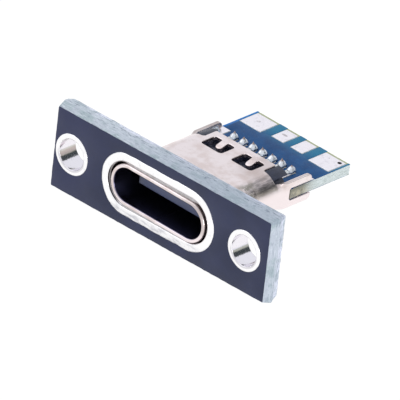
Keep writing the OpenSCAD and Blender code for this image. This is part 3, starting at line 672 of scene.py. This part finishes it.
for name, (at, wide, long) in pads.items():
    drilled = name == "wire_pad_right"
    hole = [obround(0, via_radius + 0.01, 0.04)[::-1] + via] if drilled else []
    meshes = [pillow(at, pad_rear - long, wide, long, hole=hole)] + [via_tube()] * drilled
    new_piece(name.replace("pad", "pillow"), joined(meshes), pad_tin, name)
for side, under in (("top", False), ("bottom", True)):
    meshes = [pillow(at, land_front, wide, long, under) for at, wide, long in front_lands]
    if under:
        meshes += [pillow(at, chip_front, *chip_land, under) for at in chip_ends]
    new_piece("tinned_lands_" + side, joined(meshes), pad_tin, "lands_" + side)


def softened(name, width, finish):
    """A CAD node's merged copy with its hard edges rounded off by a small bevel."""
    made = bmesh.new()
    made.from_mesh(nodes[name].data)
    bmesh.ops.remove_doubles(made, verts=made.verts, dist=1e-7)
    bmesh.ops.dissolve_limit(made, angle_limit=math.radians(0.5), verts=made.verts, edges=made.edges)
    mesh = bpy.data.meshes.new(name + "_softened")
    made.to_mesh(mesh)
    made.free()
    piece = fitted(name + "_softened", mesh, finish, name)
    bevel = piece.modifiers.new("rounding", "BEVEL")
    bevel.width, bevel.segments, bevel.limit_method = width * mm, 2, "ANGLE"
    bevel.angle_limit, bevel.harden_normals = math.radians(35), True


resistor = Finish("chip_resistor")
x = resistor.axes()[0]
ends = abs(abs(x) - chip_middle).rise(0.25, 0.27)
speck = resistor.noise(14, 2.0)
resistor.colour(resistor.mix(ends, resistor.mix(speck, (22, 22, 26), (38, 38, 42)),
                             (222, 222, 224)))
resistor.feed("Metallic", ends)
resistor.rough(0.3 + speck * 0.2)
resistor.relief(speck, 0.006)
for side in ("left", "right"):
    softened("chip_resistor_" + side, 0.03, resistor)


# ---- Housing and tongue ----
# Black glass-filled plastic, moulded round the contacts and pushed into the shell from behind.

plastic = Finish("black_moulding", IOR=1.5)
x, y, _ = plastic.axes()
fine = plastic.noise(12, 3.0, 0.6)
tone = plastic.mix(fine.rise(0.4, 0.7), (27, 32, 50), (42, 48, 70))
# Lighter mottled patches on the housing under the windows.
mottled_patches = plastic.noise(2.2, 3.0, 0.6).rise(0.42, 0.62)
mottled_patches = mottled_patches * y.band(6.4, 8.1, 0.1) * x.band(-2.6, 2.6, 0.1)
tone = plastic.mix(mottled_patches * 0.6, tone, (100, 100, 114))
# Painted light: the moulding's front end, the tongue's tip, is painted a lighter grey-blue, as lit from
# the front, and lighter still towards its left end.
front = plastic.mix(x.rise(-2.2, -3.3) * 0.6, (83, 90, 118), (116, 118, 124))
plastic.colour(plastic.mix(y.rise(2.6, 1.6), tone, front))
plastic.rough(0.36 + fine * 0.16)
plastic.relief(fine, 0.01)
softened("housing", 0.04, plastic)
softened("tongue", 0.03, plastic)


# ---- Contacts and the steel plate between them ----
# Stamped and tinned copper alloy: flush in the tongue, fanned out inside the housing, and
# gripping the board from both faces with their tails.

alloy = Finish("tinned_alloy", Metallic=1.0)
rub = alloy.noise(8, 2.0)
alloy.colour(alloy.mix(rub.rise(0.4, 0.7) * 0.5, (228, 230, 230), (176, 178, 176)))
alloy.rough(0.22 + rub * 0.18)
alloy.relief(rub, 0.006)
softened("mid_plate", 0.02, alloy)
for face in ("top", "bottom"):
    for i in range(1, 8):
        softened(f"contact_{face}_{i}", 0.02, alloy)


# ---- Shell ----
# Nickel-plated steel strip, blanked flat with its windows, tabs and legs, then rolled up round
# a dovetailed seam. Latch tabs are bent into the windows and the legs drawn out flat.

mouth_width, mouth_height, gauge = 8.34, 2.56, 0.3
bend = (mouth_height + gauge) / 2
flat_half = (mouth_width - mouth_height) / 2
round_run = math.pi * bend
seam_at = 2 * flat_half + round_run
rim, tube_rear = -0.06, 8.59
notch_at, notch_front = 2.85, 7.29
leg_at, leg_half, leg_tip = flat_half + round_run / 2, 1.0, 10.65
fork_half, fork_front, leg_flat = 0.48, 8.5, 8.2
window_at, window_half, window_front, window_rear = 1.43, 0.97, 6.49, 7.99
tab_half, tab_run, tab_turn, tab_bend = 0.27, 0.84, math.radians(17), 0.35
seam, lock_front, lock_rear, lock_reach, flare = 0.005, 3.0, 4.4, 0.8, 0.2


def rolled(u, v, w):
    """Sheet point u round the tube from the middle of its top, v along it and w out of it.
    Flat for u up to flat_half, then an arc of radius bend, then flat again underneath. Behind
    the notches a leg's arc opens out to a flat plate. A tab turns in about its root."""
    side, s = np.where(u < 0, -1.0, 1.0), np.abs(u)
    arc = np.clip((s - flat_half) / bend, 0, math.pi)
    x = np.minimum(s, flat_half) - np.maximum(s - flat_half - round_run, 0) + (bend + w) * np.sin(arc)
    z = (bend + w) * np.cos(arc)
    opened = eased(np.clip((v - notch_front) / (leg_flat - notch_front), 0, 1))
    curl = np.maximum((1 - opened) / bend, 1e-6)
    turn = (leg_at - s) * curl
    leg = (v > notch_front) & (np.abs(s - leg_at) < leg_half + 0.2)
    x = np.where(leg, flat_half + bend - (1 - np.cos(turn)) / curl + w * np.cos(turn), x)
    z = np.where(leg, np.sin(turn) / curl + w * np.sin(turn), z)
    middle = np.where(s > seam_at / 2, seam_at - window_at, window_at)
    back = window_rear - v
    tab = (np.abs(s - middle) < tab_half + 0.09) & (back > 0) & (back < tab_run + 0.01)
    a = np.clip(back / tab_bend, 0, tab_turn)
    rest = np.maximum(back - tab_bend * tab_turn, 0)
    out = w * np.cos(a) - tab_bend * (1 - np.cos(a)) - rest * math.sin(tab_turn)
    y = np.where(tab, window_rear - tab_bend * np.sin(a) - rest * math.cos(tab_turn) - w * np.sin(a), v)
    z = np.where(tab, np.where(s > seam_at / 2, -1, 1) * (bend + out), z)
    return seated(np.stack([side * x, y, z], 1))


def lock(edge, grow):
    """The dovetail's outline left of that edge of the strip, and grown by that much."""
    return [(edge, lock_front + seam), (edge - lock_reach, lock_front - flare - grow),
            (edge - lock_reach, lock_rear + flare + grow), (edge, lock_rear - seam)]


left, right = seam - seam_at, seam_at - seam
half_leg = [(leg_at - notch_at, tube_rear), (leg_at - notch_at, notch_front), (leg_half, notch_front),
            (leg_half, leg_tip), (fork_half, leg_tip), (fork_half, fork_front)]
leg = [(leg_at + u, v) for u, v in half_leg] + [(leg_at - u, v) for u, v in half_leg[::-1]]
half_radii = [0.12, 0.2, 0.1, 0.36, 0.08, 0.18]
leg_radii = half_radii + half_radii[::-1]
outline = rounded([(left, rim), (right, rim), *lock(right, seam), (right, tube_rear), *leg]
                  + [(-u, v) for u, v in leg[::-1]] + [(left, tube_rear), *lock(left, -seam)[::-1]],
                  [0.015] * 2 + [0.06] * 4 + [0.05] + leg_radii + leg_radii + [0.05] + [0.06] * 4)


def window(middle):
    """A punched window with its latch tab still flat in it, clockwise."""
    front, rear, tab_tip = window_front, window_rear, window_rear - tab_run
    corners = [(-window_half, front), (-window_half, rear), (-tab_half, rear), (-tab_half, tab_tip),
               (tab_half, tab_tip), (tab_half, rear), (window_half, rear), (window_half, front)]
    radii = [0.24, 0.24, 0.08, tab_half - 0.01]
    return rounded([(middle + u, v) for u, v in corners], radii + radii[::-1], 0.08)


def edge_radius(u, v):
    """Half the gauge along the rolled rim, and a sheared edge's small radius elsewhere."""
    return np.where(v < rim + 1e-4, np.clip(3 * (seam_at - np.abs(u)), 0.02, gauge / 2 - 0.001), 0.05)


windows = [window(side * at) for side in (-1, 1) for at in (window_at, seam_at - window_at)]
strip = sheet([outline, *windows], gauge, edge_radius, rolled, grid=0.13)
steel = Finish("nickelled_steel", Metallic=1.0)
shell = new_piece("rolled_shell", strip, steel, "shell")
blank = strip[2]
map_size = 20
flat_map = shell.data.uv_layers.new(name="blank")
corner = np.zeros(len(shell.data.loops), int)
shell.data.loops.foreach_get("vertex_index", corner)
flat_map.data.foreach_set("uv", (blank[corner] / map_size).ravel())
inner = shell.data.attributes.new("inner_face", "FLOAT", "POINT")
inner.data.foreach_set("value", np.repeat([0.0, 1.0], len(blank) // 2))

across, along, _ = steel.axes(steel.node("VectorMath", {"operation": "SCALE"}, {
    0: steel.node("UVMap", {"uv_map": "blank"}, {}), "Scale": map_size}))
within = steel.node("Attribute", {"attribute_name": "inner_face"}, {}, "Fac")
drawn = steel.grain((5, 0.9, 5))
cloud = steel.noise(0.9, 3.0, 0.55)
stain = steel.noise(2.6, 4.0, 0.62)
shoulder = across.band(3.35, 4.45, 0.3)
# Painted reflection: dark streaks along the right shoulder, towards the rear, stand for something dark
# reflected in its rounding.
dark_reflection_streaks = steel.grain((5, 1.0, 5)).rise(0.34, 0.62) * 0.5 + 0.3
dark_reflection_streaks = shoulder * along.band(4.9, 7.8, 0.7) * dark_reflection_streaks
flux = shoulder * along.band(3.4, 5.5, 0.5) * stain.rise(0.42, 0.58)
tone = steel.mix(cloud.rise(0.4, 0.65), (243, 232, 232), (228, 213, 210))
tone = steel.mix(stain.rise(0.52, 0.78) * 0.3, tone, (202, 187, 178))
# A darker mottled patch on the top, right of the middle, towards the rear.
darker_rear_patch = across.band(1.6, 3.6, 0.7) * along.band(5.6, 8.9, 0.9)
tone = steel.mix(darker_rear_patch * (0.25 + cloud * 0.3), tone, (178, 160, 154))
# Painted light: from its right side round underneath, the shell is painted paler, as its right side is
# brightly lit.
tone = steel.mix(across.rise(4.3, 5.0), tone, (247, 235, 236))
tone = steel.mix(dark_reflection_streaks * 0.9, tone, (92, 88, 90))
tone = steel.mix(flux * 0.7, tone, (134, 134, 122))
# Painted shade: the left leg is painted darker and mottled, as its faces lie in shade.
prong = across.band(-6.1, -3.0, 0.1) * along.rise(7.4, 7.8)
tone = steel.mix(prong * (0.2 + cloud * 0.35), tone, (166, 160, 156))
sheared = within.band(0.15, 0.85, 0.12) * along.rise(0.3, 0.5)
tone = steel.mix(sheared * 0.45, tone, (170, 154, 146))
# Painted reflection: the right part of the front rim's rounding is painted a darker grey-brown, standing
# for a dark reflection there.
painted_dark_lip = along.rise(0.3, 0.1) * across.band(2.4, 5.6, 0.4)
tone = steel.mix(painted_dark_lip * 0.5, tone, (172, 158, 152))
# Painted shade: the shell's inner face is painted a dark slate from the mouth back to the housing, as the
# cavity lies in shade.
steel.colour(steel.mix(within * along.band(-0.01, 7.2, 0.03), tone, (100, 98, 124)))
steel.rough(0.24 + drawn * 0.12 + flux * 0.3)
steel.relief(drawn * 0.5 + flux * stain * 2, 0.01)


# ---- Solder ----
# Bright solder: run into the slot round the shell, a joint drawn up to a point on each tail,
# and a fillet inside each prong.

solder = Finish("solder", Metallic=1.0)
x, y, z = solder.axes()
grain = solder.noise(2.4, 3.0, 0.6)
above, joints = abs(over_board(x, z)), y.rise(9.9, 10.0)
tips, shaded_feet = above.rise(0.76, 0.88) * joints, above.rise(0.66, 0.46) * joints
tone = solder.mix(grain.rise(0.45, 0.7) * 0.5, (226, 230, 236), (180, 184, 188))
# Painted shade and reflection: the joints' feet are painted a dark blue-grey, as shade at their base and
# the blue board reflected in them.
tone = solder.mix(shaded_feet * 0.7, tone, (92, 122, 150))
tone = solder.mix(y.rise(1.4, 0.9) * (0.3 + grain * 0.5), tone, (142, 128, 122))
# Painted shade: the collar is painted nearly black inside the slot, from 0.45 mm behind the plate's front
# face, and from 0.17 mm round the slot's ends.
gap = y.band(0.45, 1.3, 0.1).most(abs(x).rise(2.8, 3.5) * y.band(0.17, 1.3, 0.07))
tone = solder.mix(gap * 0.8, tone, (44, 38, 40))
solder.colour(solder.mix(tips * 0.8, tone, (128, 100, 88)))
solder.rough(0.22 + grain * 0.2)
solder.relief(grain, 0.008)

tail_middle, foot_height = 10.35, core_thick / 2 + 0.03


def drop(x, face, seed):
    """A joint like a drop drawn upward: rings shrink from a foot as square as its land, where
    s = 1, to a round point, s = 0, at the height body sqrt(1 - s^2.2) + point (1 - s)^5. Its
    point is pulled aside with the square of the height."""
    random = np.random.default_rng(seed)
    body, point = random.uniform(0.34, 0.4), random.uniform(0.14, 0.22)
    pull = random.uniform([-0.09, 0.0], [0.0, 0.12])
    s = np.linspace(1, 0.03, 22)[:, None]
    turn = np.linspace(0, 2 * math.pi, 40, endpoint=False)
    waver = 1 + 0.05 * np.sin(2 * turn + random.uniform(0, 6))
    waver = waver + 0.03 * np.sin(3 * turn + random.uniform(0, 6))
    square = s ** 12 * (1 / (np.abs(np.cos(turn)) ** 4 + np.abs(np.sin(turn)) ** 4) ** 0.25 - 1)
    height = body * np.sqrt(1 - (s * 0.999) ** 2.2) + point * (1 - s) ** 5
    wide, long = 0.28 * s ** 0.8 * (1 + square), 0.38 * s ** 0.85 * (1 + square)
    aside = (height / (body + point)) ** 2
    u = x + wide * np.cos(turn) * waver + pull[0] * aside
    v = tail_middle + long * np.sin(turn) * waver + pull[1] * aside
    w = np.broadcast_to(foot_height + height, u.shape)
    tip = [x + pull[0], tail_middle + pull[1], foot_height + 0.002 + body + point]
    points = np.concatenate([np.stack([u, v, w], 2).reshape(-1, 3),
                             [tip, [x, tail_middle, core_thick / 2]]])
    return seated(points * (1, 1, face)), domed(*u.shape, face < 0)


def tube_sides(stations, sections):
    """Quads of an open tube, facing the other way round from a hoop's."""
    return hoop(stations, sections, closed=False)[:, [0, 3, 2, 1]].tolist()


def domed(rings, count, turned):
    """Faces of a closed drop: quads between its rings, and fans to its tip and its foot."""
    j, last = np.arange(count), (rings - 1) * count
    after = (j + 1) % count
    tip = np.stack([last + j, last + after, np.full(count, rings * count)], 1)
    foot = np.stack([after, j, np.full(count, rings * count + 1)], 1)
    faces = tube_sides(rings, count) + tip.tolist() + foot.tolist()
    return [face[::-1] for face in faces] if turned else faces


for side, face, first in (("top", 1, 60), ("bottom", -1, 80)):
    for i in range(1, 8):
        joint = drop((i - 4) * tail_pitch, face, first + i)
        new_piece(f"joint_{side}_{i}", joint, solder, f"solder_{side}_{i}")

leg_inner, land_middle, land_half = flat_half + bend - gauge / 2, 9.68, 0.68


def fillet(side, face, seed):
    """A hollow fillet in the corner of a prong and its land. Its section is a quarter of an
    ellipse round a centre away from the corner. Its half axes are about 0.46 (1 - t^4)^(1/2)
    and 0.42 (1 - t^4)^(1/2), t going from -1 to 1 along the prong."""
    t = np.linspace(-1, 1, 25)[:, None]
    a = np.radians(np.arange(0, 91, 10))
    shrink = np.sqrt(np.clip(1 - t ** 4, 0, 1)) * (0.9 + 0.2 * lattice(t * 3 + 4, 0, seed)) + 0.03
    wide, high = 0.46 * shrink, 0.42 * shrink
    outer, lower = leg_inner + 0.02 + 0 * t, core_thick / 2 + 0.02 + 0 * t
    u = np.concatenate([leg_inner - wide + wide * np.sin(a), outer, outer, leg_inner - wide], 1)
    w = np.concatenate([land_top + high * (1 - np.cos(a)), land_top + high, lower, lower], 1)
    v = np.broadcast_to(land_middle + land_half * t, u.shape)
    points = np.stack([side * u, v, face * w], 2).reshape(-1, 3)
    stations, sections = u.shape
    first_end = list(range(sections))[::-1]
    last_end = list(range((stations - 1) * sections, stations * sections))
    faces = tube_sides(stations, sections) + [first_end, last_end]
    return seated(points), faces if side * face > 0 else [f[::-1] for f in faces]


for name, *corner in (("top_left", -1, 1, 70), ("top_right", 1, 1, 71),
                      ("bottom_left", -1, -1, 72), ("bottom_right", 1, -1, 73)):
    new_piece("prong_fillet_" + name, fillet(*corner), solder, "leg_solder_" + name)


def collar(seed):
    """Solder round the shell. Its section runs from the shell's face to the slot's wall at the
    front, back along that wall, out over the rear ring, and in a hollow fillet up the shell.
    It comes nearly to the front along the straights. Round both ends it slopes away from the
    slot's wall and stays deep beside the shell. A point lies on the shell where f = 0 and on
    the slot's wall where f = 1, and gap is about the distance between them."""
    x, nx, nz = around_slot(1.0, 90, 90)
    around = np.arange(len(x)) / len(x)
    flat = np.abs(nz) ** np.where(nz > 0, 2.5, 6)
    front = 1.0 - 1.02 * flat * (0.9 + 0.1 * lattice(around * 24, 0, seed))
    foot = 0.42 + 0.14 * lattice(around * 20, 0, seed + 1)
    climb = 1.1 * (1 + 0.12 * (lattice(around * 16, 0, seed + 2) - 0.5))
    rear, gap = plate_thick + 0.02, 0.26
    shell_reach, wall_reach = bend + gauge / 2 - 0.005, slot_end + 0.005
    rows = [(0 * x + f, front * share + 0.02) for f, share in ((0, 1), (0.4, 0.62), (0.75, 0.2), (1, 0.1))]
    rows.append((0 * x + 1, 0 * x + rear))
    rows += [(1 + foot / gap * (1 - math.sin(t)) - math.sin(t), rear + climb * (1 - math.cos(t)))
             for t in np.radians(np.arange(0, 91, 15))]
    f, y = np.array(rows).transpose(1, 2, 0)
    shell_side = seated(np.stack([x * flat_half + nx * shell_reach, 0 * x, nz * shell_reach], 1))
    wall_side = np.stack([x * slot_straight + nx * wall_reach, 0 * x, nz * wall_reach], 1)
    points = shell_side[:, None] + (wall_side - shell_side)[:, None] * f[..., None]
    points[..., 1] = y
    return points.reshape(-1, 3), hoop(*f.shape)[:, ::-1]


new_piece("slot_collar", collar(91), solder, "slot_solder")


# ---- Floor, light and camera ----
# A pale floor under the plate's lower edge, a soft sky, two lamps, and a grey card behind the
# object to the right, which only shows as the dark streak in the bright metal. They are placed
# in metres, and the camera in millimetres.

square = np.array([(-1, -1, 0), (1, -1, 0), (1, 1, 0), (-1, 1, 0)])


def staged(name, corners, finish, shader):
    """A flat card through four corners, which isn't part of the object, with that shader."""
    finish.tree.links.new(shader.socket, finish.tree.nodes["Material Output"].inputs["Surface"])
    mesh = bpy.data.meshes.new(name)
    mesh.from_pydata(corners, [], [(0, 1, 2, 3)])
    mesh.materials.append(finish.material)
    card = added(name, mesh)
    return card


paper = Finish("white_paper", Roughness=0.9, Base_Color=(0.86, 0.86, 0.87, 1))
seen = paper.node("LightPath", {}, {}, "Is Camera Ray")
gleam = Value(paper, seen.socket.node.outputs["Is Glossy Ray"])
glow = paper.node("Emission", {}, {"Color": (1, 1, 1), "Strength": 1.05})
shade = paper.node("MixShader", {}, {
    0: seen * 0.95 + gleam, 1: Value(paper, paper.shader.outputs[0]), 2: glow})
low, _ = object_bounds()
half_floor = 6.0
staged("floor", (square * half_floor + (0, 0, low.z)).tolist(), paper, shade)

world = bpy.data.worlds.new("soft_sky")
bpy.context.scene.world = world
world.use_nodes = True
sky = world.node_tree
path = sky.nodes.new("ShaderNodeLightPath")
white = sky.nodes.new("ShaderNodeBackground")
white.inputs["Color"].default_value = (1, 1, 1, 1)
both = sky.nodes.new("ShaderNodeMixShader")
plain = sky.nodes["Background"]
plain.inputs["Color"].default_value = (0.94, 0.96, 1.0, 1)
plain.inputs["Strength"].default_value = 0.93
for i, source in enumerate((path.outputs["Is Camera Ray"], plain.outputs[0], white.outputs[0])):
    sky.links.new(source, both.inputs[i])
sky.links.new(both.outputs[0], sky.nodes["World Output"].inputs[0])


def towards_object(place):
    """The turn that makes a card or a lamp at that place face the object."""
    return (-Vector(place)).to_track_quat("-Z", "Y")


felt = Finish("felt")
height = felt.axes()[2]
glow = felt.node("Emission", {}, {
    "Color": felt.mix(height.rise(125, 165), (184, 188, 176), (66, 72, 74))})
card_place, half_size = Vector((0.31, 0.33, 0.195)), (0.15, 0.155, 0)
turn = towards_object(card_place).to_matrix()
card = staged("dark_card", [card_place + turn @ Vector(corner) for corner in square * half_size],
              felt, glow)
card.visible_camera = card.visible_diffuse = card.visible_shadow = False

for name, place, size, power in (("key_lamp", (-0.30, -0.20, 0.45), 0.6, 0.75),
                                 ("side_lamp", (0.50, -0.16, 0.06), 0.12, 0.8)):
    lamp = bpy.data.lights.new(name, "AREA")
    lamp.size, lamp.energy = size, power
    holder = added(name, lamp)
    holder.location = place
    holder.rotation_euler = towards_object(place).to_euler()
    holder.visible_camera = False

azimuth, elevation, roll = (math.radians(a) for a in (40.85, 28.805, 6.44))
distance, view_width = 1150, 27.357
aim_right, aim_up = 2.912, 0.175
back = Vector((math.sin(azimuth) * math.cos(elevation), -math.cos(azimuth) * math.cos(elevation),
               math.sin(elevation)))
level = Vector((math.cos(azimuth), math.sin(azimuth), 0))
upright = back.cross(level)
right = level * math.cos(roll) + upright * math.sin(roll)
up = upright * math.cos(roll) - level * math.sin(roll)
lens = bpy.data.cameras.new("camera")
lens.sensor_width = 36
lens.lens = lens.sensor_width * distance / view_width
camera = added("camera", lens)
turn = Matrix((right, up, back)).transposed()
camera.matrix_world = Matrix.Translation(
    (back * distance + right * aim_right + up * aim_up) * mm) @ turn.to_4x4()
bpy.context.scene.camera = camera
bpy.context.scene.view_settings.view_transform = "Standard"
